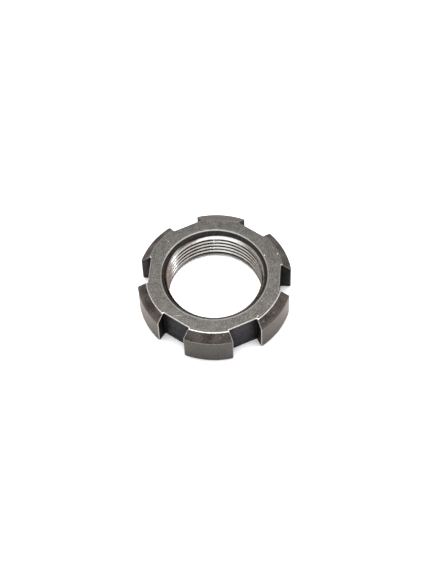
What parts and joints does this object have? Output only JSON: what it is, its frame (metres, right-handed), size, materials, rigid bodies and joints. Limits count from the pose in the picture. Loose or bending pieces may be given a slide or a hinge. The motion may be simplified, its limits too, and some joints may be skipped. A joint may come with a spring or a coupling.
{
  "type": "slotted round lock nut",
  "caption": "Round steel lock nut with a fine internal thread, a flat top with an outer chamfer, and spanner slots milled across its rim.",
  "frame": {"origin": "centre of the face that the nut rests on", "axes": "+Z along the thread's axis towards the chamfered top, +X through the middle of one spanner slot"},
  "size_m": [0.041, 0.042, 0.0105],
  "materials": {
    "steel": "tumbled dark grey steel, thread machined bright"
  },
  "bodies": {
    "root": {"lock_nut": "steel"}
  },
  "joints": []
}
